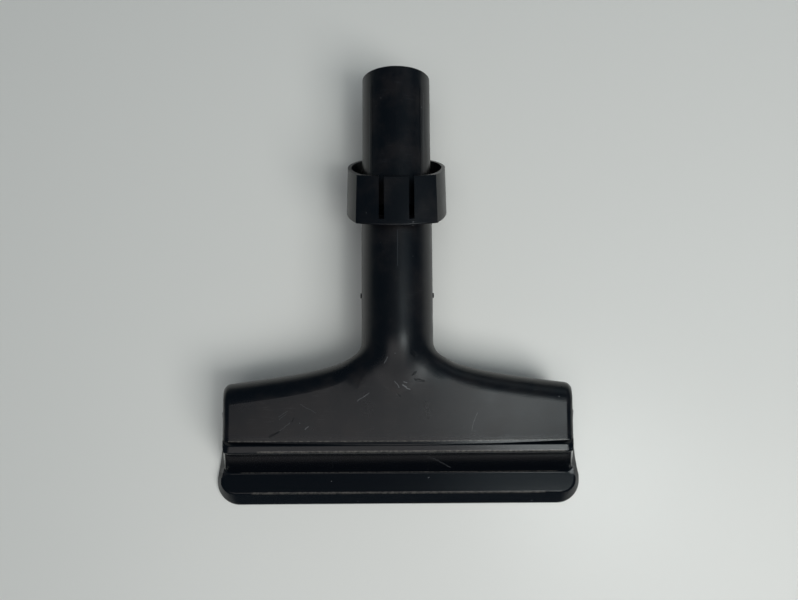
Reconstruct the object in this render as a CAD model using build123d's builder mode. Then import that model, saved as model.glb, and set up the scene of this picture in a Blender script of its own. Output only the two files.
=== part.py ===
from build123d import *
from math import acos, atan2, cos, degrees, exp, radians, sin, sqrt, tan
import os

# Vacuum upholstery nozzle, lying on its sole and on the back of its collar.
# +X runs across the head, +Y towards the spigot's end and +Z up from the surface it lies on.
# The origin is at the middle of its length and width, on that surface.

# Whole length, from the sole's front edge to the spigot's end
LENGTH = 201.7
FRONT_Y = -LENGTH / 2
END_Y = LENGTH / 2

# Spigot, the push fit end, with four low grip ribs along it
SPIGOT_R = 15.95            # over its free length
SPIGOT_ROOT_R = 16.15       # at the collar's floor
SPIGOT_FREE = 30.5          # the part that stands clear of the collar
SPIGOT_WALL = 1.95
SPIGOT_EDGE_R = 0.5
RIB_COUNT = 4
RIB_WIDTH = 1.0
RIB_HEIGHT = 0.15
RIB_START = 7.5             # from the spigot's end to the start of the ribs
BORE_R = SPIGOT_R - SPIGOT_WALL

# Collar, a slotted cup round the root of the spigot, with both ends cut on a slant
COLLAR_R = 23.2             # round back, at the floor plane
COLLAR_FRONT = 20.9         # axis to the middle of the flatter front
COLLAR_CORNER_X = 17.8      # where the flatter front meets the sides
COLLAR_CORNER_Z = 17.5
COLLAR_DRAFT = 1.2          # degrees
COLLAR_SLANT = 27.6         # degrees from square
COLLAR_LENGTH = 19.3        # floor plane to rim plane, square to both
COLLAR_WALL = 1.6
COLLAR_FLOOR = 2.0
COLLAR_FROM_END = 63.5      # spigot's end to the floor plane, along the axis
COLLAR_EDGE_R = 0.6
SLOT_WIDTH = 2.3
TONGUE_WIDTH = 10.9         # the springy strip between the two slots
SLOT_FLOOR = 2.7            # what the slots leave standing above the floor plane

# Neck, a plain tube from the collar to the throat
NECK_R = 16.4
NUB_Y = -1.9
NUB_R = 1.2
NUB_HEIGHT = 0.5

# Sole, the flange that lies on the cloth
SOLE_HALF = 87.4            # widest, at the front lip
SOLE_WAIST = 85.25          # half width at the waist
SOLE_REAR_HALF = 86.0
SOLE_DEPTH = 45.35
SOLE_WIDEST = 13.0          # sole's front edge to the widest place
SOLE_NARROWEST = 33.0       # sole's front edge to the waist
SOLE_CORNER_R = 11.0
SOLE_REAR_R = 1.6
SOLE_EDGE = 1.9             # height of the flange's outer edge
HEEL = 1.8                  # how far the flange stands out behind the rear wall's foot
LIP_TOP = 5.9
LIP_TILT = 5.7              # degrees, the lip falls towards the front
BEVEL_FRONT = 6.5
BEVEL_SIDE = 3.0
BEVEL_CORNER_R = 6.0        # the corners at the bevel's top
BEVEL_TOP_R = 2.0           # worn rounding where the lip turns into the bevel
SOLE_EDGE_R = 0.8
SOLE_WALL = 2.5

# Head, measured back from the sole's front edge where it says so
HEAD_TOP = 31.3             # panel's front edge above the surface, in the middle
PANEL_TILT = 5.3            # degrees, the panel falls towards the front
PANEL_CROWN = 2.0           # how much lower the panel is at its ends
PANEL_HALF = 77.4           # half width at the height of the panel's front edge
END_DRAFT = 13.1            # degrees, lean of the end walls
END_EDGE_R = 3.8            # rounding along both ends
PANEL_EDGE = 34.15          # sole's front edge to the panel's front edge
GROOVE_WIDTH = 1.9          # between the panel and the bead
GROOVE_DEPTH = 0.15
BEAD_TOP = 31.2
BEAD_R = 3.4
BEAD_BACK_R = 0.6
BEAD_BACK_DROP = 2.4        # the bead's back leans down this far across the groove
BEAD_CORNER = 29.5          # sole's front edge to the point where slope and bead top would meet
SLOPE_FOOT = 15.45          # sole's front edge to the foot of the slope
SLOPE_FOOT_R = 1.0
HEAD_WALL = 2.3

# Shoulder, the rear outline of the head from above: straight arms and a flare to the neck
SHOULDER_R = 8.25           # rounding from the rear wall to the panel
ARM_ANGLE = 7.1             # degrees, how far the arms sweep back
ARM_END = 58.75             # sole's front edge to the shoulder at the head's ends
FLARE_RISE = 33.0           # the flare dies away from the middle like a horn
FLARE_FADE = 11.0
FLARE_INNER_X = 16.0        # from here inwards the flare is hidden in the throat and rounds off

STATION_COUNT = 8           # sections on each side of the middle
STATION_STEP = (SOLE_HALF + 1) / STATION_COUNT

# Throat, from the round neck to the flat inside of the head
THROAT_START_Y = -9.0
THROAT_LENGTH = 48.0
THROAT_LEAD = 12.0          # how much of it stays round
THROAT_CREST = 40.0         # from its start to where its top has sunk into the panel
THROAT_HALF = 60.0
THROAT_SINK = 0.15          # how far its top ends under the panel
THROAT_BOTTOM = 4.0
THROAT_RINGS = 8
THROAT_BLEND_R = 8.0        # hollow rounding between the throat and the shoulder

# Mouth, the slot in the sole that the air goes through
MOUTH_HALF = 75.0
MOUTH_FRONT = 17.45         # from the sole's front edge
MOUTH_WIDTH = 17.4
MOUTH_CORNER_R = 4.0

# Lint strips, short pile set flush in both lips
STRIP_LENGTH = 140.0
STRIP_THICK = 1.2
FRONT_STRIP_WIDTH = 8.0
REAR_STRIP_WIDTH = 5.5
STRIP_CORNER_R = 1.0
STRIP_GAP = 0.15            # all round a strip in its recess


# Places that follow from the sizes
SPIGOT_ROOT_Y = END_Y - COLLAR_FROM_END
HALF_SLANT_REACH = COLLAR_R * tan(radians(COLLAR_SLANT))
AXIS_Z = COLLAR_R - HALF_SLANT_REACH * tan(radians(COLLAR_DRAFT))
PANEL_EDGE_Y = FRONT_Y + PANEL_EDGE
BEAD_BACK_Y = PANEL_EDGE_Y - GROOVE_WIDTH
SLOPE_FOOT_Y = FRONT_Y + SLOPE_FOOT
BEAD_CORNER_Y = FRONT_Y + BEAD_CORNER
REAR_Y = FRONT_Y + SOLE_DEPTH
MOUTH_Y = FRONT_Y + MOUTH_FRONT + MOUTH_WIDTH / 2
FRONT_STRIP_Y = FRONT_Y + MOUTH_FRONT / 2
REAR_STRIP_Y = (FRONT_Y + MOUTH_FRONT + MOUTH_WIDTH + REAR_Y) / 2
REACH = LENGTH              # longer than anything it cuts


def ring_plane(y, z):
    """A plane square to the axis, with its own x along +X and its own y along +Z."""
    return Plane(origin=(0, y, z), x_dir=(1, 0, 0), z_dir=(0, -1, 0))


def side_plane(x):
    """A plane square to X, with its own x along +Y and its own y along +Z."""
    return Plane(origin=(x, 0, 0), x_dir=(0, 1, 0), z_dir=(1, 0, 0))


def shoulder_y(x):
    """The rearmost point of the head at a distance x from the middle."""
    horn_x = max(abs(x), FLARE_INNER_X)
    flare = FLARE_RISE * exp(-horn_x / FLARE_FADE)
    horn_y = FRONT_Y + ARM_END + (PANEL_HALF - horn_x) * tan(radians(ARM_ANGLE)) + flare
    steepness = tan(radians(ARM_ANGLE)) + flare / FLARE_FADE
    crest = (1 - min(abs(x) / FLARE_INNER_X, 1) ** 2) / 2
    return horn_y + crest * FLARE_INNER_X * steepness


def panel_z(x, y):
    """The height of the panel, tilted to the front and crowned across."""
    crown = PANEL_CROWN * (x / PANEL_HALF) ** 2
    return HEAD_TOP - crown + (y - PANEL_EDGE_Y) * tan(radians(PANEL_TILT))


def head_section(x, front_y, inset):
    """The head cut at x: rear wall, rounded shoulder and panel, all moved in by the inset."""
    tilt = radians(PANEL_TILT)
    radius = SHOULDER_R - inset
    centre_y = shoulder_y(x) - SHOULDER_R
    centre_z = panel_z(x, centre_y) - SHOULDER_R / cos(tilt)
    foot_y = REAR_Y - HEEL - inset
    top_angle = 90 + PANEL_TILT
    away = sqrt((foot_y - centre_y) ** 2 + centre_z**2)
    foot_angle = degrees(atan2(-centre_z, foot_y - centre_y) + acos(radius / away))
    with BuildSketch(side_plane(x)) as section:
        with BuildLine():
            shoulder = CenterArc((centre_y, centre_z), radius, foot_angle, top_angle - foot_angle)
            front_top = (front_y, (shoulder @ 1).Y + (front_y - (shoulder @ 1).X) * tan(tilt))
            Polyline(shoulder @ 1, front_top, (front_y, 0), (foot_y, 0), shoulder @ 0)
        make_face()
    return section.sketch


def end_walls(inset):
    """The head seen from the front: a tall trapezoid whose sides are the leaning end walls."""
    lean = tan(radians(END_DRAFT))
    low_half = PANEL_HALF + HEAD_TOP * lean - inset
    high = 2 * HEAD_TOP
    high_half = low_half - high * lean
    with BuildSketch(Plane.XZ) as front:
        Polygon((-low_half, 0), (low_half, 0), (high_half, high), (-high_half, high), align=None)
    return front.sketch


def sole_outline(plane, front, side, rear, corner_r):
    """The flange's outline on a plane, moved in by its own amount at the front, sides and rear."""
    widest_y = FRONT_Y + SOLE_WIDEST
    front_y = FRONT_Y + front
    rear_y = REAR_Y - rear
    waist_y = FRONT_Y + SOLE_NARROWEST
    with BuildSketch(plane) as outline:
        with BuildLine():
            for hand in (1, -1):
                lip = (hand * (SOLE_HALF - side), widest_y)
                waist = (hand * (SOLE_WAIST - side), waist_y)
                heel = (hand * (SOLE_REAR_HALF - side), rear_y)
                ThreePointArc(lip, waist, heel)
                Line(lip, (hand * (SOLE_HALF - side), front_y))
            Line((-(SOLE_HALF - side), front_y), (SOLE_HALF - side, front_y))
            Line((-(SOLE_REAR_HALF - side), rear_y), (SOLE_REAR_HALF - side, rear_y))
        make_face()
        fillet(outline.vertices().group_by(Axis.Y)[0], corner_r)
        fillet(outline.vertices().group_by(Axis.Y)[-1], SOLE_REAR_R)
    return outline.sketch


def slope_y(z, inset):
    """Where the front slope stands at a height z, moved in by the inset."""
    run = BEAD_CORNER_Y - SLOPE_FOOT_Y
    rise = BEAD_TOP - LIP_TOP
    return SLOPE_FOOT_Y + (z - LIP_TOP) * run / rise + inset * sqrt(run**2 + rise**2) / rise


def throat(inset):
    """Rings from the round neck to the wide flat inside of the head, as one lofted solid."""
    crest_z = AXIS_Z + NECK_R - panel_z(0, THROAT_START_Y - THROAT_LEAD)
    rings = []
    for i in range(THROAT_RINGS + 1):
        step = i * THROAT_LENGTH / THROAT_RINGS
        y = THROAT_START_Y - step
        along = max(step - THROAT_LEAD, 0) / (THROAT_LENGTH - THROAT_LEAD)
        down = min(max(step - THROAT_LEAD, 0) / (THROAT_CREST - THROAT_LEAD), 1)
        sunk = down**2 * (3 - 2 * down)
        top = min(panel_z(0, y) + crest_z * (1 - sunk) - THROAT_SINK * sunk, AXIS_Z + NECK_R)
        bottom = AXIS_Z - NECK_R + along**2 * (3 - 2 * along) * (THROAT_BOTTOM - AXIS_Z + NECK_R)
        half = NECK_R + along**3 * (THROAT_HALF - NECK_R)
        with BuildSketch(ring_plane(y, (top + bottom) / 2)) as ring:
            Ellipse(half - inset, (top - bottom) / 2 - inset)
        rings.append(ring.sketch)
    return loft(rings, mode=Mode.PRIVATE)


def collar_section(y, inset):
    """The collar cut square to the axis at y: round back, bowed sides and a flatter front."""
    less = inset + (y - SPIGOT_ROOT_Y) * tan(radians(COLLAR_DRAFT))
    back = COLLAR_R - less
    corner = (COLLAR_CORNER_X - less, COLLAR_CORNER_Z - less)
    with BuildSketch(ring_plane(y, AXIS_Z)) as section:
        with BuildLine():
            ThreePointArc((-back, 0), (0, -back), (back, 0))
            TangentArc((back, 0), corner, tangent=(0, 1))
            ThreePointArc(corner, (0, COLLAR_FRONT - less), (-corner[0], corner[1]))
            TangentArc((-back, 0), (-corner[0], corner[1]), tangent=(0, 1))
        make_face()
    return section.sketch


# Evenly spaced stations across the head, at which its section is drawn
ALL_STATIONS = [STATION_STEP * i for i in range(-STATION_COUNT, STATION_COUNT + 1)]

# Panel block, the rear part of the head with the shoulder and the panel
with BuildPart() as panel_block:
    loft([head_section(x, BEAD_BACK_Y - 1, 0) for x in ALL_STATIONS])
    extrude(end_walls(0), amount=REACH, both=True, mode=Mode.INTERSECT)
    ends = panel_block.faces().sort_by(Axis.X)
    rims = ends[0].edges() + ends[-1].edges()
    fillet(rims.filter_by(lambda e: e.center().Z > 1 and e.center().Y > BEAD_BACK_Y), END_EDGE_R)
    groove_z = HEAD_TOP - GROOVE_DEPTH
    with BuildSketch(ring_plane(PANEL_EDGE_Y, 0)):
        with BuildLine():
            bed = ThreePointArc((-PANEL_HALF, groove_z - PANEL_CROWN), (0, groove_z),
                                (PANEL_HALF, groove_z - PANEL_CROWN))
            Polyline(bed @ 1, (REACH, groove_z - PANEL_CROWN), (REACH, REACH), (-REACH, REACH),
                     (-REACH, groove_z - PANEL_CROWN), bed @ 0)
        make_face()
    extrude(amount=REACH, mode=Mode.SUBTRACT)

# Front bar, the front slope with the bead along its top
with BuildPart() as front_bar:
    with BuildSketch(side_plane(0)) as bar_profile:
        Polygon((slope_y(0, 0), 0), (BEAD_CORNER_Y, BEAD_TOP), (BEAD_BACK_Y, BEAD_TOP),
                (PANEL_EDGE_Y, BEAD_TOP - BEAD_BACK_DROP), (PANEL_EDGE_Y, 0), align=None)
        fillet(bar_profile.vertices().sort_by_distance((BEAD_CORNER_Y, BEAD_TOP))[0], BEAD_R)
    extrude(amount=REACH, both=True)
    extrude(end_walls(0), amount=REACH, both=True, mode=Mode.INTERSECT)
    ends = front_bar.faces().sort_by(Axis.X)
    rims = ends[0].edges() + ends[-1].edges()
    fillet(rims.filter_by(lambda e: e.center().Z > 1 and e.center().Y < BEAD_BACK_Y - 0.1), END_EDGE_R)
    back_edges = front_bar.edges().filter_by(lambda e: abs(e.center().Y - BEAD_BACK_Y) < 0.1)
    fillet(back_edges.filter_by(lambda e: e.center().Z > BEAD_TOP - END_EDGE_R), BEAD_BACK_R)

# Flange of the sole, with a bevel all round and a lip that falls to the front
with BuildPart() as flange:
    extrude(sole_outline(Plane.XY, 0, 0, 0, SOLE_CORNER_R), amount=SOLE_EDGE)
    loft([sole_outline(Plane.XY.offset(SOLE_EDGE), 0, 0, 0, SOLE_CORNER_R),
          sole_outline(Plane.XY.offset(LIP_TOP), BEVEL_FRONT, BEVEL_SIDE, HEEL, BEVEL_CORNER_R)],
         ruled=True)
    lip_tilt = radians(LIP_TILT)
    split(bisect_by=Plane(origin=(0, SLOPE_FOOT_Y, LIP_TOP), z_dir=(0, -sin(lip_tilt), cos(lip_tilt))),
          keep=Keep.BOTTOM)
    fillet(flange.edges().filter_by(lambda e: abs(e.center().Z - SOLE_EDGE) < 0.05), SOLE_EDGE_R)

# Collar cup
slant = radians(COLLAR_SLANT)
floor_plane = Plane(origin=(0, SPIGOT_ROOT_Y, AXIS_Z), x_dir=(1, 0, 0), z_dir=(0, cos(slant), sin(slant)))
with BuildPart() as collar_hollow:
    loft([collar_section(SPIGOT_ROOT_Y - COLLAR_R, COLLAR_WALL),
          collar_section(SPIGOT_ROOT_Y + 2 * COLLAR_R, COLLAR_WALL)], ruled=True)
    split(bisect_by=floor_plane.offset(COLLAR_FLOOR), keep=Keep.TOP)
with BuildPart() as collar:
    loft([collar_section(SPIGOT_ROOT_Y - COLLAR_R, 0), collar_section(SPIGOT_ROOT_Y + 2 * COLLAR_R, 0)],
         ruled=True)
    split(bisect_by=floor_plane, keep=Keep.TOP)
    split(bisect_by=floor_plane.offset(COLLAR_LENGTH), keep=Keep.BOTTOM)
    fillet(collar.faces().sort_by(Axis.Y)[0].edges(), COLLAR_EDGE_R)
    add(collar_hollow.part, mode=Mode.SUBTRACT)
    with BuildSketch(floor_plane.offset(SLOT_FLOOR)):
        with Locations((0, -COLLAR_R - SPIGOT_ROOT_R / cos(slant))):
            with GridLocations(TONGUE_WIDTH + SLOT_WIDTH, 1, 2, 1):
                Rectangle(SLOT_WIDTH, 2 * COLLAR_R)
    extrude(amount=REACH, dir=(0, 1, 0), mode=Mode.SUBTRACT)

# Neck, up to the collar's floor
with BuildPart() as neck:
    with BuildSketch(ring_plane(END_Y, AXIS_Z)):
        Circle(NECK_R)
    extrude(amount=END_Y - THROAT_START_Y)
    split(bisect_by=floor_plane.offset(COLLAR_FLOOR / 2), keep=Keep.BOTTOM)
    with BuildSketch(Plane(origin=(0, NUB_Y, AXIS_Z), x_dir=(0, 1, 0), z_dir=(1, 0, 0))):
        Circle(NUB_R)
    extrude(amount=NECK_R + NUB_HEIGHT, both=True)

# Spigot with its ribs
axis = Axis((0, 0, AXIS_Z), (0, 1, 0))
with BuildPart() as spigot:
    with BuildSketch(side_plane(0)) as spigot_profile:
        Polygon((SPIGOT_ROOT_Y, AXIS_Z), (SPIGOT_ROOT_Y, AXIS_Z + SPIGOT_ROOT_R),
                (END_Y - SPIGOT_FREE, AXIS_Z + SPIGOT_R), (END_Y, AXIS_Z + SPIGOT_R), (END_Y, AXIS_Z),
                align=None)
        fillet(spigot_profile.vertices().sort_by_distance((END_Y, AXIS_Z + SPIGOT_R))[0], SPIGOT_EDGE_R)
    revolve(axis=axis)
    with BuildSketch(ring_plane(END_Y - RIB_START, AXIS_Z)):
        with PolarLocations(SPIGOT_R, RIB_COUNT, start_angle=180 / RIB_COUNT):
            Rectangle(2 * RIB_HEIGHT, RIB_WIDTH)
    extrude(amount=COLLAR_FROM_END - RIB_START)

throat_out = throat(0)
throat_in = throat(NECK_R - BORE_R)

# Air way, the hollow from the mouth to the spigot's end
with BuildPart() as air_way:
    loft([head_section(x, FRONT_Y, HEAD_WALL) for x in ALL_STATIONS])
    extrude(end_walls(HEAD_WALL), amount=REACH, both=True, mode=Mode.INTERSECT)
    with BuildSketch(side_plane(0)):
        Polygon((slope_y(0, HEAD_WALL), 0), (slope_y(2 * BEAD_TOP, HEAD_WALL), 2 * BEAD_TOP),
                (END_Y, 2 * BEAD_TOP), (END_Y, 0), align=None)
    extrude(amount=REACH, both=True, mode=Mode.INTERSECT)
    add(throat_in)
    split(bisect_by=Plane.XY.offset(SOLE_WALL), keep=Keep.TOP)
    with BuildSketch(ring_plane(END_Y, AXIS_Z)):
        Circle(BORE_R)
    extrude(amount=END_Y - THROAT_START_Y)
    with BuildSketch(Plane.XY):
        with Locations((0, MOUTH_Y)):
            RectangleRounded(2 * MOUTH_HALF, MOUTH_WIDTH, MOUTH_CORNER_R)
    extrude(amount=2 * SOLE_WALL)

# Nozzle body, one moulding
with BuildPart() as nozzle_body:
    add(panel_block.part)
    add(front_bar.part)
    add(flange.part)
    lip_middle_z = (SOLE_EDGE + LIP_TOP) / 2
    above = nozzle_body.edges().filter_by(lambda e: lip_middle_z < e.center().Z < LIP_TOP + 0.3)
    across = above.filter_by(lambda e: e.length > PANEL_HALF and abs(e.center().Y - SLOPE_FOOT_Y) < 0.3)
    fillet(across, SLOPE_FOOT_R)
    above = nozzle_body.edges().filter_by(lambda e: lip_middle_z < e.center().Z < LIP_TOP + 0.3)
    fillet(above.filter_by(lambda e: e.center().Y < SLOPE_FOOT_Y - 1.5 * SLOPE_FOOT_R), BEVEL_TOP_R)
    add(throat_out)
    seam = nozzle_body.edges(Select.NEW).filter_by(lambda e: abs(e.center().X) < NECK_R + 2)
    fillet(seam.filter_by(lambda e: e.center().Y < THROAT_START_Y - THROAT_LEAD), THROAT_BLEND_R)
    add(neck.part)
    add(collar.part)
    add(spigot.part)
    add(air_way.part, mode=Mode.SUBTRACT)
    with BuildSketch(Plane.XY):
        with Locations((0, FRONT_STRIP_Y)):
            RectangleRounded(STRIP_LENGTH, FRONT_STRIP_WIDTH, STRIP_CORNER_R)
        with Locations((0, REAR_STRIP_Y)):
            RectangleRounded(STRIP_LENGTH, REAR_STRIP_WIDTH, STRIP_CORNER_R)
    extrude(amount=STRIP_THICK, mode=Mode.SUBTRACT)
nozzle_body.part.label = "nozzle_body"

os.makedirs("parts", exist_ok=True)
export_step(nozzle_body.part, "parts/nozzle_body.step")

# Lint strips, a little smaller than their recesses
for name, strip_y, width in (("front_lint_strip", FRONT_STRIP_Y, FRONT_STRIP_WIDTH),
                             ("rear_lint_strip", REAR_STRIP_Y, REAR_STRIP_WIDTH)):
    with BuildPart() as strip:
        with BuildSketch(Plane.XY):
            with Locations((0, strip_y)):
                RectangleRounded(STRIP_LENGTH - 2 * STRIP_GAP, width - 2 * STRIP_GAP,
                                 STRIP_CORNER_R - STRIP_GAP)
        extrude(amount=STRIP_THICK)
    strip.part.label = name
    export_step(strip.part, f"parts/{name}.step")
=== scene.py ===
# %% [markdown]
# A black moulded upholstery nozzle lies on a pale table, seen from nearly straight above.
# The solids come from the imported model, and this file gives them their looks: the satin plastic
# with its wear, the short pile on the sole, the table and the soft light.
# Everything is in metres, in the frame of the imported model.

# %% Load the frame
import math
import random
import bmesh
import bpy
import numpy as np
from mathutils import Matrix, Vector


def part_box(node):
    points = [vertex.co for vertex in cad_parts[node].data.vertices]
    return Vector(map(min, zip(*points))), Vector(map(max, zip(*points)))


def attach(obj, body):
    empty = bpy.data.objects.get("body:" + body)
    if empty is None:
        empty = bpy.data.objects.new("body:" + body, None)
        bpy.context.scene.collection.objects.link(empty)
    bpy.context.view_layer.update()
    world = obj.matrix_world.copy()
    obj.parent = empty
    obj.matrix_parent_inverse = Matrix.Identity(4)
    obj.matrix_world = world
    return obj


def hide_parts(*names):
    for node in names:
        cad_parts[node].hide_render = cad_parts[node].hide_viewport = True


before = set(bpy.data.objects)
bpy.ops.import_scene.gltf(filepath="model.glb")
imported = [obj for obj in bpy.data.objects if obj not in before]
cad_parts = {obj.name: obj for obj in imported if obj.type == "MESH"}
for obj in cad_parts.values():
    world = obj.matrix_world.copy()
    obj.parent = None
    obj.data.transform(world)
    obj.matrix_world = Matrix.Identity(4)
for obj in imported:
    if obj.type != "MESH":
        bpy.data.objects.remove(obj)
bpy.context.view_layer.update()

MM = 0.001
scene = bpy.context.scene
scene.view_settings.view_transform = "Standard"
print("nodes:", sorted(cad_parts))


# %% [markdown]
# Two small helpers serve every material below. A colour is written the way a picture editor
# shows it, as sRGB hex, and Blender's sockets want linear light, so one function turns it.
# A second one adds a node, sets its fields, fills its sockets and links what is handed to it.
# A socket is named by its label, or by its number where several have the same label.

# %% Helpers for materials
def linear(hex_colour):
    """An sRGB hex colour as linear red, green, blue and alpha."""
    parts = [int(hex_colour[i:i + 2], 16) / 255 for i in (0, 2, 4)]
    return (*[c / 12.92 if c <= 0.04045 else ((c + 0.055) / 1.055) ** 2.4 for c in parts], 1)


def node(owner, kind, settings=None, **sockets):
    """Adds a node to a material or the world; each socket gets a value or another socket."""
    made = owner.node_tree.nodes.new(kind)
    for field, value in (settings or {}).items():
        setattr(made, field, value)
    for name, value in sockets.items():
        key = int(name[1:]) if name[0] == "_" else name.replace("_", " ")
        if isinstance(value, bpy.types.NodeSocket):
            owner.node_tree.links.new(value, made.inputs[key])
        else:
            made.inputs[key].default_value = value
    return made


def new_material(name):
    """An empty node material and its output node."""
    material = bpy.data.materials.new(name)
    material.use_nodes = True
    material.node_tree.nodes.clear()
    return material, material.node_tree.nodes.new("ShaderNodeOutputMaterial")


print("the middle grey 808080 in linear light:", round(linear("808080")[0], 3))


# %% [markdown]
# The camera looks down at the table from about 300 mm, leaning a little towards the spigot, and
# its picture is turned by a third of a degree. These numbers were found by laying the outline
# of the solids over the outline in the photograph.

# %% Camera
CAMERA_AT = Vector((0.39, -28.1, 305.7)) * MM
CAMERA_LOOKS_AT = Vector((0.83, -3.91, 23.0)) * MM
CAMERA_ROLL = math.radians(-0.37)
FOCAL_PX = 614.4
PICTURE_WIDTH_PX = 798
SENSOR_WIDTH = 36.0

camera_data = bpy.data.cameras.new("camera")
camera_data.sensor_width = SENSOR_WIDTH
camera_data.lens = FOCAL_PX / PICTURE_WIDTH_PX * SENSOR_WIDTH
camera_data.clip_start = 10 * MM
camera_data.clip_end = 10.0
camera = bpy.data.objects.new("camera", camera_data)
scene.collection.objects.link(camera)
view_line = (CAMERA_LOOKS_AT - CAMERA_AT).normalized()
picture_right = view_line.cross(Vector((0, 1, 0))).normalized()
picture_up = picture_right.cross(view_line)
turn = Matrix.Rotation(CAMERA_ROLL, 3, -view_line)
axes = Matrix((turn @ picture_right, turn @ picture_up, -view_line)).transposed()
camera.matrix_world = Matrix.Translation(CAMERA_AT) @ axes.to_4x4()
scene.camera = camera
print("lens in mm:", round(camera_data.lens, 2))


# %% [markdown]
# Single marks on the plastic are short straight strokes: scratches, scuffs, gouges, pale lines along
# edges and the faint lines that the mould left. The pale edge lines are painted highlights, the
# glints of the panel's front edge, the bead, the slope's foot and the lip's crest, with some real
# wear in them. Each is a soft band round a line between two points, worked out from Object
# coordinates, so it stays where it is on the part from any side. Scratches and gouges read shaken
# coordinates, because no real scratch is ruled.

# %% Strokes for marks
def stroke(material, place, start, end, width):
    """How much of a point is in a soft band round the line from start to end, in mm."""
    line = Vector(end) - Vector(start)
    middle = (Vector(start) + Vector(end)) / 2 * MM
    local = node(material, "ShaderNodeMapping", {"vector_type": "TEXTURE"}, Vector=place,
                 Location=(middle.x, middle.y, 0), Rotation=(0, 0, math.atan2(line.y, line.x)))
    off = node(material, "ShaderNodeVectorMath", {"operation": "ABSOLUTE"}, _0=local.outputs[0])
    split = node(material, "ShaderNodeSeparateXYZ", None, Vector=off.outputs[0])
    bands = []
    for axis, reach, soft in (("X", line.length / 2, width), ("Y", width / 2, width / 2)):
        band = node(material, "ShaderNodeMapRange", {"interpolation_type": "SMOOTHSTEP"},
                    Value=split.outputs[axis], From_Min=(reach - soft / 2) * MM,
                    From_Max=(reach + soft / 2) * MM, To_Min=1.0, To_Max=0.0)
        bands.append(band.outputs["Result"])
    both = node(material, "ShaderNodeMath", {"operation": "MULTIPLY"}, _0=bands[0], _1=bands[1])
    return both.outputs[0]


def strokes(material, place, marks):
    """The strongest of several strokes; each mark is its start, end, width and strength."""
    total = 0.0
    for start, end, width, strength in marks:
        part = node(material, "ShaderNodeMath", {"operation": "MULTIPLY"},
                    _0=stroke(material, place, start, end, width), _1=strength)
        strongest = node(material, "ShaderNodeMath", {"operation": "MAXIMUM"}, _0=total,
                         _1=part.outputs[0])
        total = strongest.outputs[0]
    return total


PALE_MARKS = [
    ((-52.3, -62.3), (-47.4, -58.5), 0.3, 0.12), ((-41.2, -61.6), (-39.4, -60.3), 0.45, 0.3),
    ((-52.7, -56.2), (-48.6, -53.3), 0.3, 0.12), ((-52.4, -57.2), (-49.0, -54.6), 0.3, 0.1),
    ((-43.0, -50.6), (-36.0, -54.4), 0.3, 0.1), ((-17.9, -49.5), (-12.6, -45.7), 0.35, 0.25),
    ((-5.9, -33.0), (-4.4, -29.8), 0.3, 0.3), ((-1.2, -40.3), (0.6, -43.4), 0.35, 0.3),
    ((2.2, -42.2), (3.9, -43.2), 0.5, 0.5), ((3.6, -43.4), (5.4, -44.3), 0.4, 0.45),
    ((2.6, -41.0), (4.2, -41.4), 0.4, 0.4), ((14.3, -75.6), (24.9, -82.7), 0.3, 0.2),
    ((35.2, -54.6), (33.4, -58.4), 0.3, 0.25), ((33.4, -58.4), (32.7, -62.5), 0.3, 0.2),
    ((71.3, -47.9), (71.8, -47.9), 0.5, 0.4), ((63.8, -99.5), (64.5, -99.5), 0.45, 0.4),
    ((14.2, -87.8), (14.9, -87.3), 0.4, 0.3), ((11.5, 82.9), (11.6, 83.6), 0.4, 0.2),
    ((6.8, 28.1), (7.5, 28.3), 0.4, 0.4),
]
DARK_MARKS = [
    ((-57.2, -65.0), (-52.4, -62.4), 0.4, 1.0), ((-46.9, -57.6), (-46.0, -56.6), 0.5, 0.6),
    ((6.2, -27.6), (8.2, -29.6), 1.6, 0.8), ((6.3, -37.9), (8.4, -36.6), 0.6, 0.8),
    ((7.4, -39.9), (11.6, -40.6), 0.7, 0.9), ((-0.4, -46.4), (1.2, -47.2), 0.8, 0.5),
    ((5.2, -7.2), (7.9, -8.9), 0.5, 0.4),
]
# Painted highlights, with some wear: pale lines along the panel's front edge, the bead's front, the
# slope's foot and the lip's crest, where these edges glint.
EDGE_GLINTS_AND_WEAR = [
    ((-75.2, -66.9), (75.2, -66.9), 0.5, 0.3), ((-62.0, -71.4), (74.0, -71.4), 0.9, 0.3),
    ((-75.5, -85.1), (76.5, -85.1), 0.4, 0.22), ((-70.0, -94.6), (70.0, -94.6), 1.1, 0.22),
]
MOULD_LINES = [
    ((0.35, 25.6), (0.25, 9.6), 0.3, 1.0), ((-12.1, 90.5), (-12.1, 49.0), 0.3, 0.6),
    ((12.5, 90.5), (12.4, 52.0), 0.3, 0.6), ((-14.2, -19.6), (-14.2, -26.0), 0.35, 0.4),
    ((14.4, -19.6), (14.4, -26.0), 0.35, 0.4),
]
print("marks:", len(PALE_MARKS), "pale,", len(DARK_MARKS), "dark,", len(EDGE_GLINTS_AND_WEAR), "edge glints and wear,",
      len(MOULD_LINES), "mould lines")


# %% [markdown]
# The body is one moulding in black polypropylene, a soft and slightly waxy plastic. Its mould
# was finely eroded, so to the eye its gloss is broad and satin and never sharp, and its colour
# is almost black and comes mostly from what it mirrors. Most of the work is therefore in
# roughness and bump. It could be one flat black shader, but years of use show in the photograph,
# so this first cell makes masks for where they show: on faces that look up, and mostly on the
# panel behind the front slope, which the lip shields.

# %% Where the body's plastic is worn
SHAKE_SIZE = 2.5 * MM
SHAKE = 1.3 * MM
PANEL_FRONT = (-68 * MM, -64 * MM)
LOOKS_UP = (0.1, 0.3)
LIES_FLAT = (0.6, 0.8)

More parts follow.
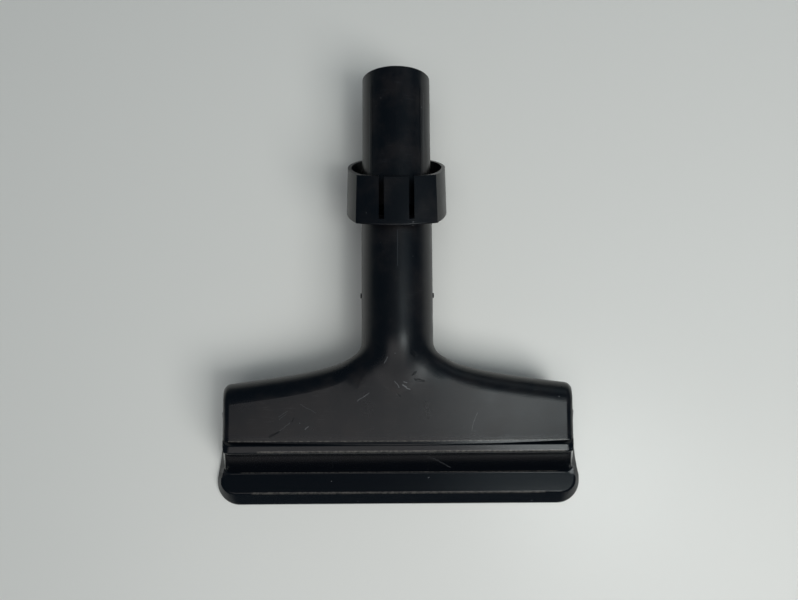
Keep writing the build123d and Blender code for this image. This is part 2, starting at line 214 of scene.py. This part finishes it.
body_plastic, body_out = new_material("moulded_polypropylene_black")
coords = node(body_plastic, "ShaderNodeTexCoord").outputs["Object"]
shake = node(body_plastic, "ShaderNodeTexNoise", {"normalize": True}, Vector=coords,
             Scale=1 / SHAKE_SIZE, Detail=2.0)
centred = node(body_plastic, "ShaderNodeVectorMath", {"operation": "SUBTRACT"},
               _0=shake.outputs["Color"], _1=(0.5, 0.5, 0.5))
shaken = node(body_plastic, "ShaderNodeVectorMath", {"operation": "MULTIPLY_ADD"},
              _0=centred.outputs[0], _1=(SHAKE, SHAKE, SHAKE), _2=coords).outputs[0]

geometry = node(body_plastic, "ShaderNodeNewGeometry")
facing = node(body_plastic, "ShaderNodeSeparateXYZ", None,
              Vector=geometry.outputs["Normal"]).outputs["Z"]
upward = node(body_plastic, "ShaderNodeMapRange", None, Value=facing, From_Min=LOOKS_UP[0],
              From_Max=LOOKS_UP[1]).outputs[0]
flat = node(body_plastic, "ShaderNodeMapRange", None, Value=facing, From_Min=LIES_FLAT[0],
            From_Max=LIES_FLAT[1]).outputs[0]
along_y = node(body_plastic, "ShaderNodeSeparateXYZ", None, Vector=coords).outputs["Y"]
behind = node(body_plastic, "ShaderNodeMapRange", None, Value=along_y, From_Min=PANEL_FRONT[0],
              From_Max=PANEL_FRONT[1]).outputs[0]
exposed = node(body_plastic, "ShaderNodeMath", {"operation": "MAXIMUM"}, _0=flat, _1=behind)
exposed = exposed.outputs[0]
print("panel wear starts at y in mm:", [round(y / MM) for y in PANEL_FRONT])


# %% [markdown]
# Four kinds of marks lie over each other: dull clouds of wear some 14 mm wide, hairline scratches
# inside them, a few pale specks of dust, and the single marks of the lists above. The hairlines of
# the real part are finer than a pixel, so they are drawn coarse enough to show. The pale edge lines,
# which are painted highlights with some wear, are broken up by a finer noise.

# %% Clouds, hairlines, specks and marks
CLOUD_SIZE = 14 * MM
CLOUD_EDGE = (0.42, 0.68)
HAIR_WIDTH = 0.35 * MM
HAIR_SOFTNESS = 0.08
HAIR_STRENGTH = 0.35
SPECK_SPACING = 6 * MM
SPECK_EDGE = (0.02, 0.035)
SPECK_STRENGTH = 0.5
EDGE_BREAKUP_SIZE = 1.4 * MM
EDGE_BREAKUP_RANGE = (0.35, 0.65)
EDGE_BREAKUP_LEAST = 0.3


def hairlines(angle, length, threshold):
    """Fine parallel scratches: noise stretched along one direction and cut to its crests."""
    turned = node(body_plastic, "ShaderNodeMapping", None, Vector=coords,
                  Rotation=(0, 0, math.radians(angle)), Scale=(1 / length, 1 / HAIR_WIDTH, 1 / length))
    noise = node(body_plastic, "ShaderNodeTexNoise", None, Vector=turned.outputs[0], Scale=1.0,
                 Detail=1.0)
    return node(body_plastic, "ShaderNodeMapRange", {"interpolation_type": "SMOOTHSTEP"},
                Value=noise.outputs["Fac"], From_Min=threshold,
                From_Max=threshold + HAIR_SOFTNESS).outputs[0]


clouds = node(body_plastic, "ShaderNodeTexNoise", None, Vector=coords, Scale=1 / CLOUD_SIZE,
              Detail=4.0, Roughness=0.6).outputs["Fac"]
worn = node(body_plastic, "ShaderNodeMapRange", {"interpolation_type": "SMOOTHSTEP"}, Value=clouds,
            From_Min=CLOUD_EDGE[0], From_Max=CLOUD_EDGE[1]).outputs[0]
worn = node(body_plastic, "ShaderNodeMath", {"operation": "MULTIPLY"}, _0=worn, _1=behind).outputs[0]
hair = node(body_plastic, "ShaderNodeMath", {"operation": "MAXIMUM"},
            _0=hairlines(-38, 9 * MM, 0.66), _1=hairlines(24, 7 * MM, 0.68)).outputs[0]
hair = node(body_plastic, "ShaderNodeMath", {"operation": "MULTIPLY"}, _0=hair, _1=worn).outputs[0]
hair = node(body_plastic, "ShaderNodeMath", {"operation": "MULTIPLY"}, _0=hair, _1=HAIR_STRENGTH)
hair = hair.outputs[0]

specks = node(body_plastic, "ShaderNodeTexVoronoi", None, Vector=coords, Scale=1 / SPECK_SPACING)
specks = node(body_plastic, "ShaderNodeMapRange", None, Value=specks.outputs["Distance"],
              From_Min=SPECK_EDGE[0], From_Max=SPECK_EDGE[1], To_Min=SPECK_STRENGTH,
              To_Max=0.0).outputs[0]
edge_breakup = node(body_plastic, "ShaderNodeTexNoise", None, Vector=coords, Scale=1 / EDGE_BREAKUP_SIZE,
               Detail=3.0, Roughness=0.6).outputs["Fac"]
edge_breakup = node(body_plastic, "ShaderNodeMapRange", {"interpolation_type": "SMOOTHSTEP"},
               Value=edge_breakup, From_Min=EDGE_BREAKUP_RANGE[0], From_Max=EDGE_BREAKUP_RANGE[1],
               To_Min=EDGE_BREAKUP_LEAST).outputs[0]

pale = strokes(body_plastic, shaken, PALE_MARKS)
pale = node(body_plastic, "ShaderNodeMath", {"operation": "MAXIMUM"}, _0=pale, _1=specks).outputs[0]
# Painted highlights along the edges, with some wear, broken up by the finer noise.
edges = strokes(body_plastic, coords, EDGE_GLINTS_AND_WEAR)
edges = node(body_plastic, "ShaderNodeMath", {"operation": "MULTIPLY"}, _0=edges, _1=edge_breakup)
edges = edges.outputs[0]
dark = strokes(body_plastic, shaken, DARK_MARKS)
mould = strokes(body_plastic, coords, MOULD_LINES)
pale, edges, dark, mould = [
    node(body_plastic, "ShaderNodeMath", {"operation": "MULTIPLY"}, _0=mask, _1=upward).outputs[0]
    for mask in (pale, edges, dark, mould)]
print("mask nodes so far:", len(body_plastic.node_tree.nodes))


# %% [markdown]
# The colour starts from a bluish black and turns warmer and paler where the plastic is worn, and
# paler along the front edges, where highlights are painted. The gloss is sharper on the shielded
# slope than on the panel, and broadest on the round neck. The height is the eroded grain with the
# gouges cut into it and the mould's lines standing proud. The real grain is finer than a pixel, so
# it is drawn at 0.7 mm to show. The index of refraction is that of polypropylene.

# %% Colour, gloss and grain of the body's plastic
# The pale 8c877f along the edges is a painted highlight, with some wear in it.
COLOUR_LAYERS = [(worn, "151314"), (hair, "34363a"), (pale, "7c7e80"), (edges, "8c877f"),
                 (dark, "050608"), (mould, "2a2d30")]
FRESH_BLACK = "06080c"
ROUGH_PANEL = (0.26, 0.34)
ROUGH_SLOPE = 0.13
ROUGH_LIP = 0.2
ROUGHER_NECK = 0.05
ROUGHER_SCUFF = 0.3
NECK_START = (-30 * MM, -12 * MM)
GRAIN_SIZE = 0.7 * MM
GRAIN_DEPTH = 0.016 * MM
CUT_DEPTH = 0.1 * MM
LINE_HEIGHT = 0.05 * MM
IOR_POLYPROPYLENE = 1.49

colour = linear(FRESH_BLACK)
for mask, tone in COLOUR_LAYERS:
    colour = node(body_plastic, "ShaderNodeMix", {"data_type": "RGBA"}, _0=mask, _6=colour,
                  _7=linear(tone)).outputs[2]

rough = node(body_plastic, "ShaderNodeMapRange", None, Value=clouds, From_Min=0.3, From_Max=0.7,
             To_Min=ROUGH_PANEL[0], To_Max=ROUGH_PANEL[1]).outputs[0]
shielded = node(body_plastic, "ShaderNodeMapRange", None, Value=flat, To_Min=ROUGH_SLOPE,
                To_Max=ROUGH_LIP).outputs[0]
rough = node(body_plastic, "ShaderNodeMix", None, _0=behind, _2=shielded, _3=rough).outputs[0]
on_neck = node(body_plastic, "ShaderNodeMapRange", None, Value=along_y, From_Min=NECK_START[0],
               From_Max=NECK_START[1], To_Max=ROUGHER_NECK).outputs[0]
rough = node(body_plastic, "ShaderNodeMath", {"operation": "ADD"}, _0=rough, _1=on_neck).outputs[0]
rough = node(body_plastic, "ShaderNodeMath", {"operation": "MULTIPLY_ADD", "use_clamp": True},
             _0=pale, _1=ROUGHER_SCUFF, _2=rough).outputs[0]

grain = node(body_plastic, "ShaderNodeTexNoise", None, Vector=coords, Scale=1 / GRAIN_SIZE,
             Detail=3.0, Roughness=0.6).outputs["Fac"]
height = node(body_plastic, "ShaderNodeMath", {"operation": "MULTIPLY"}, _0=grain, _1=GRAIN_DEPTH)
height = node(body_plastic, "ShaderNodeMath", {"operation": "MULTIPLY"}, _0=height.outputs[0],
              _1=exposed)
for mask, depth in ((dark, -CUT_DEPTH), (mould, LINE_HEIGHT)):
    height = node(body_plastic, "ShaderNodeMath", {"operation": "MULTIPLY_ADD"}, _0=mask, _1=depth,
                  _2=height.outputs[0])
bump = node(body_plastic, "ShaderNodeBump", None, Height=height.outputs[0], Distance=1.0,
            Strength=1.0)
shader = node(body_plastic, "ShaderNodeBsdfPrincipled", None, Base_Color=colour,
              IOR=IOR_POLYPROPYLENE, Roughness=rough, Normal=bump.outputs["Normal"])
body_plastic.node_tree.links.new(shader.outputs["BSDF"], body_out.inputs["Surface"])
print("material:", body_plastic.name, "with", len(body_plastic.node_tree.nodes), "nodes")


# %% [markdown]
# On the real head the front slope is slightly hollow, so it mirrors the dark lip and not the
# table, the lip rises to a worn crest before its bevel, and the bead on top leans forward. The
# solid has a straight slope, a lip that falls and a rounder, level bead. The front could be
# modelled again, but its form is right to within two millimetres, so its points are moved by a
# function of where they are. Each point keeps its depth behind the surface, so the wall keeps
# its thickness.

# %% Profile of the front, in mm back from the front edge and up from the table
SOLID_FOOT, SOLID_CORNER, SOLID_BEAD_R = (15.45, 5.9), (29.5, 31.2), 3.4
SOLID_CREST, SOLID_EDGE_Z = (4.77, 4.83), 1.9
REAL_FOOT, REAL_CORNER, REAL_BEAD_R = (15.45, 5.0), (28.7, 31.2), 1.5
REAL_CREST = (6.3, 6.3)
BEAD_LEAN = math.tan(math.radians(3.2))
HOLLOW_R = 56.0
BEAD_BACK = 32.25
END_LEAN = math.tan(math.radians(13.1))
HALF_WIDTH = 80.0
IN_FRONT, FAR_BEHIND, FAR_BELOW = -5.0, 60.0, 40.0
BEAD_REACH, WALL_REACH, BEAD_FADE = 2.7, 5.0, 4.0
SHRINK_FADE = 2.0
LEAN_REACH, LEAN_FADE, LEAN_START = 6.0, (1.0, 9.0), 5.0
MARGIN = 0.01
front_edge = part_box("nozzle_body")[0][1] / MM
slope_angle = math.atan2(SOLID_CORNER[1] - SOLID_FOOT[1], SOLID_CORNER[0] - SOLID_FOOT[0])
BEAD_TANGENT = SOLID_BEAD_R * math.tan(slope_angle / 2)
BEAD_DROP = BEAD_TANGENT * math.sin(slope_angle)
SHRINK = REAL_BEAD_R / SOLID_BEAD_R
solid_rise, real_rise = SOLID_CORNER[1] - SOLID_FOOT[1], REAL_CORNER[1] - REAL_FOOT[1]
print("slope of the solid in degrees:", round(math.degrees(slope_angle), 1))


def fade(value, start, end):
    """1 up to start, 0 from end on, and smooth between."""
    t = np.clip((value - start) / (end - start), 0, 1)
    return 1 - t * t * (3 - 2 * t)


def hollow_slope(z):
    """Where the real slope stands at a height: an arc from its foot to the bead's corner."""
    run = REAL_CORNER[0] - REAL_FOOT[0]
    away = math.sqrt(HOLLOW_R ** 2 / (run ** 2 + real_rise ** 2) - 0.25)
    centre_u = (REAL_CORNER[0] + REAL_FOOT[0]) / 2 - real_rise * away
    centre_z = (REAL_CORNER[1] + REAL_FOOT[1]) / 2 + run * away
    return centre_u + np.sqrt(HOLLOW_R ** 2 - (z - centre_z) ** 2)


# %% [markdown]
# The lip and the slope move by different rules. On the lip a point is pushed back and up in
# proportion to how near the crest it is. On the slope its depth behind the surface and its drop
# below the top are mapped from the solid's bead to the real one, and the surface is then laid
# on the arc. Both moves fade out towards parts that are already right.

# %% Move a point of the solid to where the real front has it
def moved_lip(u, z):
    """How far back and up a point of the lip moves."""
    share = np.clip((SOLID_FOOT[0] - u) / (SOLID_FOOT[0] - SOLID_CREST[0]), 0, 1)
    over = np.clip(u / SOLID_CREST[0], 0, 1)
    top = np.interp(u, [0, SOLID_CREST[0], SOLID_FOOT[0]],
                    [SOLID_EDGE_Z + MARGIN, SOLID_CREST[1], SOLID_FOOT[1]])
    raised = np.clip((z - SOLID_EDGE_Z) / (top - SOLID_EDGE_Z), 0, 1)
    back = (REAL_CREST[0] - SOLID_CREST[0]) * share * raised * over
    up = ((REAL_CREST[1] - SOLID_CREST[1]) * share
          + (REAL_FOOT[1] - SOLID_FOOT[1]) * (1 - share)) * raised * over
    return back, up


def moved_slope(u, z):
    """How far back and up a point of the slope or the bead moves."""
    depth = u - SOLID_FOOT[0] - (z - SOLID_FOOT[1]) / math.tan(slope_angle)
    below = SOLID_CORNER[1] - z
    new_depth = np.interp(depth, [IN_FRONT, 0, BEAD_TANGENT, BEAD_BACK - SOLID_CORNER[0], FAR_BEHIND],
                          [IN_FRONT, 0, BEAD_TANGENT * SHRINK, BEAD_BACK - REAL_CORNER[0], FAR_BEHIND])
    new_depth = depth + (new_depth - depth) * fade(below, BEAD_DROP, BEAD_DROP + SHRINK_FADE)
    new_below = np.interp(below, [IN_FRONT, 0, BEAD_DROP, solid_rise, FAR_BELOW],
                          [IN_FRONT, 0, BEAD_DROP * SHRINK, real_rise,
                           real_rise + FAR_BELOW - solid_rise])
    new_z = REAL_CORNER[1] - new_below
    far = BEAD_REACH + WALL_REACH * (1 - fade(below, 0, BEAD_FADE))
    above_edge = np.clip((z - SOLID_EDGE_Z) / (SOLID_FOOT[1] - SOLID_EDGE_Z), 0, 1)
    share = fade(depth, BEAD_TANGENT + MARGIN, far) * above_edge
    back = (hollow_slope(new_z) + new_depth - u) * share
    leaning = BEAD_LEAN * np.clip(BEAD_BACK - u - back, 0, LEAN_REACH) * fade(below, *LEAN_FADE)
    up = (new_z - z) * share - leaning * np.clip((z - SOLID_FOOT[1]) / LEAN_START, 0, 1)
    return back, up


def real_front(points):
    """Points of the solid, in mm, moved to where the real front has them."""
    x, u, z = points[:, 0], points[:, 1] - front_edge, points[:, 2]
    on_lip = u < SOLID_FOOT[0]
    lip_back, lip_up = moved_lip(u, z)
    slope_back, slope_up = moved_slope(u, z)
    back = np.where(on_lip, lip_back, slope_back)
    up = np.where(on_lip, lip_up, slope_up)
    sideways = np.where(on_lip, 0, -END_LEAN * up * x / HALF_WIDTH)
    return np.stack([x + sideways, points[:, 1] + back, z + up], axis=1)


test_points = np.array([[0, front_edge + SOLID_CREST[0], SOLID_CREST[1]]])
print("the crest moves in mm:", (real_front(test_points) - test_points).round(2).tolist()[0])


# %% [markdown]
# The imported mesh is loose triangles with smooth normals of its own. A copy of it is merged, and
# cut across at even heights, because a long flat triangle can't bend. The normals are kept in an
# attribute meanwhile, since merging and cutting would lose them.

# %% Copy the body and cut it across the slope
MERGE_DISTANCE = 1e-6
BAND_COUNT = 12
BAND_REACH = 8.0

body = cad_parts["nozzle_body"]
copied = body.data.copy()
kept = copied.attributes.new("kept_normal", "FLOAT_VECTOR", "CORNER")
corner_normals = np.empty(len(copied.loops) * 3, np.float32)
copied.corner_normals.foreach_get("vector", corner_normals)
kept.data.foreach_set("vector", corner_normals)
drawing = bmesh.new()
drawing.from_mesh(copied)
bmesh.ops.remove_doubles(drawing, verts=drawing.verts, dist=MERGE_DISTANCE)
reach = (front_edge + SOLID_CORNER[0] + BAND_REACH) * MM
for band in range(1, BAND_COUNT):
    level = (SOLID_FOOT[1] + band * solid_rise / BAND_COUNT) * MM
    faces = [f for f in drawing.faces if min(v.co.y for v in f.verts) < reach]
    around = {v for f in faces for v in f.verts} | {e for f in faces for e in f.edges} | set(faces)
    bmesh.ops.bisect_plane(drawing, geom=list(around), plane_co=(0, 0, level), plane_no=(0, 0, 1),
                           dist=MERGE_DISTANCE)
bmesh.ops.triangulate(drawing, faces=[f for f in drawing.faces if len(f.verts) > 3])
shell_mesh = bpy.data.meshes.new("nozzle_shell")
drawing.to_mesh(shell_mesh)
drawing.free()
print("faces before and after the cuts:", len(copied.polygons), len(shell_mesh.polygons))


# %% [markdown]
# The points move, and each normal turns with the surface under it. How a small piece of surface
# stretches is measured by moving its point a hundredth of a millimetre each way, and a normal
# follows the inverse of that stretch, turned over.

# %% Move the points and turn the normals
STEP = 0.01


def unit(vectors):
    """Vectors scaled to length 1."""
    return vectors / np.maximum(np.linalg.norm(vectors, axis=1, keepdims=True), 1e-9)


points = np.empty(len(shell_mesh.vertices) * 3, np.float32)
shell_mesh.vertices.foreach_get("co", points)
points = points.reshape(-1, 3).astype(float) / MM
corners = np.empty(len(shell_mesh.loops), np.int32)
shell_mesh.loops.foreach_get("vertex_index", corners)
normals = np.empty(len(shell_mesh.loops) * 3, np.float32)
shell_mesh.attributes["kept_normal"].data.foreach_get("vector", normals)
normals = normals.reshape(-1, 3).astype(float)
stretch = np.stack([(real_front(points + STEP * axis) - real_front(points - STEP * axis)) / (2 * STEP)
                    for axis in np.eye(3)], axis=2)
moved = real_front(points)
shell_mesh.vertices.foreach_set("co", (moved * MM).astype(np.float32).ravel())
turned = unit(np.einsum("nji,nj->ni", np.linalg.inv(stretch)[corners], normals))
print("largest move in mm:", round(float(np.abs(moved - points).max()), 2))


# %% [markdown]
# At its two ends the real slope meets the end walls at a tight corner, which shows as one thin
# glint. The solid's corner is rounder and mirrored a wide pale patch of the table. Only the
# shading needs to change for that, so the normals there go over from the slope to the end wall
# within a narrow band.

# %% Sharpen the corners at the ends of the slope
CORNER_X = 70.0
CORNER_DEPTH = 4.0
CORNER_BAND = (0.6, 0.95)
ABOVE_FOOT, BELOW_BEAD = 1.0, 1.5
TURNED_AWAY = 0.05
TURNED_UP = 0.6

at_x, at_y, at_z = moved[corners].T
at_u = at_y - front_edge
side = np.sign(at_x)
tilt = (hollow_slope(at_z + STEP) - hollow_slope(at_z - STEP)) / (2 * STEP)
slope_normal = unit(np.stack([0 * tilt, 0 * tilt - 1, tilt], axis=1))
end_normal = unit(np.stack([side, 0 * tilt, 0 * tilt + END_LEAN], axis=1))
to_end = (1 - fade(turned[:, 0] * side, *CORNER_BAND))[:, None]
sharper = unit(slope_normal * (1 - to_end) + end_normal * to_end)
on_corner = ((at_x * side > CORNER_X) & (at_z > REAL_FOOT[1] + ABOVE_FOOT)
             & (at_z < REAL_CORNER[1] - BELOW_BEAD) & (at_u < hollow_slope(at_z) + CORNER_DEPTH)
             & (turned[:, 1] < TURNED_AWAY) & (turned[:, 0] * side > -TURNED_AWAY)
             & (turned[:, 2] < TURNED_UP))
turned = np.where(on_corner[:, None], sharper, turned)
print("corner normals sharpened:", int(on_corner.sum()))


# %% [markdown]
# The throat of the real part runs into the panel like a horn, with no line where one starts. In
# the solid a flat panel meets a lofted throat, and its highlights broke there. The normals round
# the throat become the average of their neighbours within a few millimetres, weighted by
# distance. Neighbours that face another way, such as the inside of the wall, don't count, sharp
# corners are left sharp, and the softening fades out towards the edges of that area.

# %% Soften the throat
THROAT_FRONT, THROAT_REAR, THROAT_HALF, THROAT_Z = -46.0, 6.0, 26.0, 14.0
THROAT_FADE = 8.0
SOFTNESS = 3.0
OUTSIDE_UP = 0.05
ALIKE = 0.2
SMOOTH = 0.8

summed = np.zeros_like(points)
np.add.at(summed, corners, turned)
vertex_normals = unit(summed)
throat = np.flatnonzero((abs(moved[:, 0]) < THROAT_HALF) & (moved[:, 1] > THROAT_FRONT)
                        & (moved[:, 1] < THROAT_REAR) & (moved[:, 2] > THROAT_Z)
                        & (vertex_normals[:, 2] > OUTSIDE_UP))
near, their = moved[throat], vertex_normals[throat]
square = (near ** 2).sum(axis=1)
gap = np.maximum(square[:, None] + square[None] - 2 * near @ near.T, 0)
pull = np.exp(-gap / (2 * SOFTNESS ** 2))
pull = pull / pull.sum(axis=1)[None] * (their @ their.T > ALIKE)
blend = (fade(abs(near[:, 0]), THROAT_HALF - THROAT_FADE, THROAT_HALF)
         * fade(-near[:, 1], -THROAT_FRONT - THROAT_FADE, -THROAT_FRONT)
         * fade(near[:, 1], THROAT_REAR - THROAT_FADE, THROAT_REAR))
softened, shares = vertex_normals.copy(), np.zeros(len(points))
softened[throat] = unit(pull @ their)
shares[throat] = blend
smooth_here = (turned * vertex_normals[corners]).sum(axis=1) > SMOOTH
amount = (shares[corners] * smooth_here)[:, None]
turned = unit(turned * (1 - amount) + softened[corners] * amount)
print("throat points softened:", len(throat))


# %% [markdown]
# The finished mesh gets its normals and its plastic, and the new shell stands for the solid.

# %% Make the shell
shell_mesh.attributes.remove(shell_mesh.attributes["kept_normal"])
shell_mesh.polygons.foreach_set("use_smooth", [True] * len(shell_mesh.polygons))
shell_mesh.normals_split_custom_set([tuple(n) for n in turned])
shell_mesh.update()
shell_mesh.materials.clear()
shell_mesh.materials.append(body_plastic)
shell = bpy.data.objects.new("nozzle_shell", shell_mesh)
scene.collection.objects.link(shell)
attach(shell, "root")
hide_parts("nozzle_body")
print("shell faces:", len(shell_mesh.polygons))


# %% [markdown]
# Two strips of short pile in the sole pick lint off the cloth. The real ones are woven velour:
# a thin backing with upright fibres, all leaning one way. To the eye velour is matt and deep
# black, a little paler at grazing angles, which the sheen gives.

# %% Finish of the lint strips
PILE_PATCH_SIZE = 3 * MM

pile_finish, pile_out = new_material("velour_pile_black")
coords = node(pile_finish, "ShaderNodeTexCoord").outputs["Object"]
tone = node(pile_finish, "ShaderNodeTexNoise", None, Vector=coords, Scale=1 / PILE_PATCH_SIZE,
            Detail=3.0)
colour = node(pile_finish, "ShaderNodeMix", {"data_type": "RGBA"}, _0=tone.outputs["Fac"],
              _6=linear("17171a"), _7=linear("2b2b30"))
shader = node(pile_finish, "ShaderNodeBsdfPrincipled", None, Base_Color=colour.outputs[2],
              Roughness=0.95, Sheen_Weight=0.5, Sheen_Roughness=0.4)
pile_finish.node_tree.links.new(shader.outputs["BSDF"], pile_out.inputs["Surface"])
print("material:", pile_finish.name)


# %% [markdown]
# Single fibres are too fine to show, so each tuft here stands for a bundle: a small leaning cone,
# in rows, on a flat backing with rounded corners. A particle system could grow real fibres, but
# it would make millions of faces for a strip that is seen only from below.

# %% Lint strips
TUFT_PITCH = 0.9
TUFT_R, TUFT_TIP_R = 0.5, 0.12
TUFT_SIDES = 5
TUFT_OVERLAP = 0.08
TUFT_STRAY = 0.12
TUFT_SWING = 0.3
PILE_HEIGHT = 0.6
PILE_LEAN = math.radians(24)
FLOOR_CLEARANCE = 0.02
BACKING_CORNER_R = 0.8


def lint_strip(name, random_seed):
    """A backing slab with rows of leaning tufts, in the place of one packed strip."""
    shaker = random.Random(random_seed)
    low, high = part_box(name)
    low, high = Vector(low) / MM, Vector(high) / MM
    drawing = bmesh.new()
    slab = bmesh.ops.create_cube(drawing, size=1.0)
    slab_z = low.z + FLOOR_CLEARANCE + PILE_HEIGHT
    size = Vector((high.x - low.x, high.y - low.y, high.z - slab_z))
    middle = ((low.x + high.x) / 2, (low.y + high.y) / 2, (high.z + slab_z) / 2)
    bmesh.ops.scale(drawing, vec=size, verts=slab["verts"])
    bmesh.ops.translate(drawing, vec=middle, verts=slab["verts"])
    upright = [e for e in drawing.edges if abs((e.verts[0].co - e.verts[1].co).z) > size.z / 2]
    bmesh.ops.bevel(drawing, geom=upright, offset=BACKING_CORNER_R, offset_type="OFFSET",
                    segments=4, profile=0.5, affect="EDGES", material=-1)
    columns = int((size.x - 2 * TUFT_R) / TUFT_PITCH)
    rows = int((size.y - 2 * TUFT_R) / TUFT_PITCH)
    lean = Matrix.Rotation(PILE_LEAN, 4, "X")
    for column in range(columns + 1):
        for row in range(rows + 1):
            stray_x = shaker.uniform(-TUFT_STRAY, TUFT_STRAY)
            stray_y = shaker.uniform(-TUFT_STRAY, TUFT_STRAY)
            x = middle[0] + (column - columns / 2) * TUFT_PITCH + stray_x
            y = middle[1] + (row - rows / 2) * TUFT_PITCH + stray_y
            swing = Matrix.Rotation(shaker.uniform(-TUFT_SWING, TUFT_SWING), 4, "Z")
            at = Matrix.Translation((x, y, slab_z - PILE_HEIGHT / 2 + TUFT_OVERLAP))
            bmesh.ops.create_cone(drawing, cap_ends=True, cap_tris=False, segments=TUFT_SIDES,
                                  radius1=TUFT_TIP_R, radius2=TUFT_R, depth=PILE_HEIGHT,
                                  matrix=at @ swing @ lean)
    bmesh.ops.scale(drawing, vec=(MM, MM, MM), verts=drawing.verts)
    mesh = bpy.data.meshes.new(name + "_pile")
    drawing.to_mesh(mesh)
    drawing.free()
    mesh.materials.append(pile_finish)
    piece = bpy.data.objects.new(name + "_pile", mesh)
    scene.collection.objects.link(piece)
    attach(piece, "root")
    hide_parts(name)
    print(piece.name, "tufts:", (columns + 1) * (rows + 1), "lowest point in mm:",
          round(min(v.co.z for v in mesh.vertices) / MM, 3))


lint_strip("front_lint_strip", 3)
lint_strip("rear_lint_strip", 4)


# %% [markdown]
# The table is a board with a pale lacquer. To the eye it is even and slightly glossy: it takes
# the nozzle's soft shadow and leaves the nozzle alone in the picture.

# %% Table
TABLE_SIZE = 3.0
ROUGH_LACQUER = 0.3

table_mesh = bpy.data.meshes.new("table")
drawing = bmesh.new()
bmesh.ops.create_grid(drawing, x_segments=1, y_segments=1, size=TABLE_SIZE / 2)
drawing.to_mesh(table_mesh)
drawing.free()
table = bpy.data.objects.new("table", table_mesh)
scene.collection.objects.link(table)
table_finish, table_out = new_material("lacquered_board_pale")
shader = node(table_finish, "ShaderNodeBsdfPrincipled", None, Base_Color=linear("dadad5"),
              Roughness=ROUGH_LACQUER)
table_finish.node_tree.links.new(shader.outputs["BSDF"], table_out.inputs["Surface"])
table_mesh.materials.append(table_finish)
print("table in metres:", TABLE_SIZE)


# %% [markdown]
# A black satin part shows its form by what it mirrors, so the dark sides of the room matter as
# much as the lamps. The room is dim but for a wide pale area of ceiling in front of the nozzle,
# a brighter and smaller one to its right, a faint glow further right, and another to the rear
# right as from a window. Two more soft lamps, hidden from reflections, bring the table to a
# plain level, a little brighter towards the front right as in the photograph.

# %% Lights
def lamp(name, lean_x, lean_y, distance, size, radiance, tint=(1, 1, 1), mirrored=True):
    """A soft rectangular lamp above the part, leaning from straight up by so many degrees."""
    up = Vector((math.tan(math.radians(lean_x)), math.tan(math.radians(lean_y)), 1)).normalized()
    side = Vector((0, 1, 0)).cross(up).normalized()
    axes = Matrix((side, up.cross(side), up)).transposed()
    data = bpy.data.lights.new(name, "AREA")
    data.shape = "RECTANGLE"
    data.size, data.size_y = size
    data.color = tint
    data.energy = radiance * math.pi * size[0] * size[1]
    made = bpy.data.objects.new(name, data)
    made.matrix_world = Matrix.Translation(up * distance) @ axes.to_4x4()
    made.visible_glossy = mirrored
    scene.collection.objects.link(made)


lamp("ceiling", -3, -25, 1.6, (1.25, 0.6), 1.0, (1.0, 0.95, 0.93))
lamp("ceiling_right", 18.5, -13, 1.55, (0.42, 0.36), 5.0, (0.92, 1.0, 1.0))
lamp("glow_right", 25, 5, 1.5, (1.0, 0.42), 0.34, (0.75, 0.92, 1.0))
lamp("window_glow", 45, 55, 2.0, (0.7, 1.0), 0.32, (0.8, 0.95, 1.0))
lamp("fill_right", 33, -28, 1.0, (0.5, 0.5), 6.2, (1, 1, 1), False)
lamp("fill_above", 0, 0, 1.8, (2.0, 2.0), 0.75, (1, 1, 0.98), False)
print("lamps:", sorted(light.name for light in bpy.data.lights))


# %% [markdown]
# The walls of the room are a dim blue for the light that they give and for reflections. Where the
# camera sees past the table, in views from the side, they are a plain pale grey. Light Path tells
# the two apart. There is no metal or glass on the nozzle that would have to mirror the pale wall.

# %% Room
ROOM_TINT = (0.45, 0.72, 1.0, 1)
ROOM_STRENGTH = 0.08

world = bpy.data.worlds.new("room")
scene.world = world
world.use_nodes = True
dim = world.node_tree.nodes["Background"]
dim.inputs["Color"].default_value = ROOM_TINT
dim.inputs["Strength"].default_value = ROOM_STRENGTH
pale_wall = node(world, "ShaderNodeBackground", None, Color=linear("c9cbc9"), Strength=1.0)
seen = node(world, "ShaderNodeLightPath").outputs["Is Camera Ray"]
wall = node(world, "ShaderNodeMixShader", None, _0=seen, _1=dim.outputs[0], _2=pale_wall.outputs[0])
world.node_tree.links.new(wall.outputs[0], world.node_tree.nodes["World Output"].inputs["Surface"])
print("room strength:", ROOM_STRENGTH)
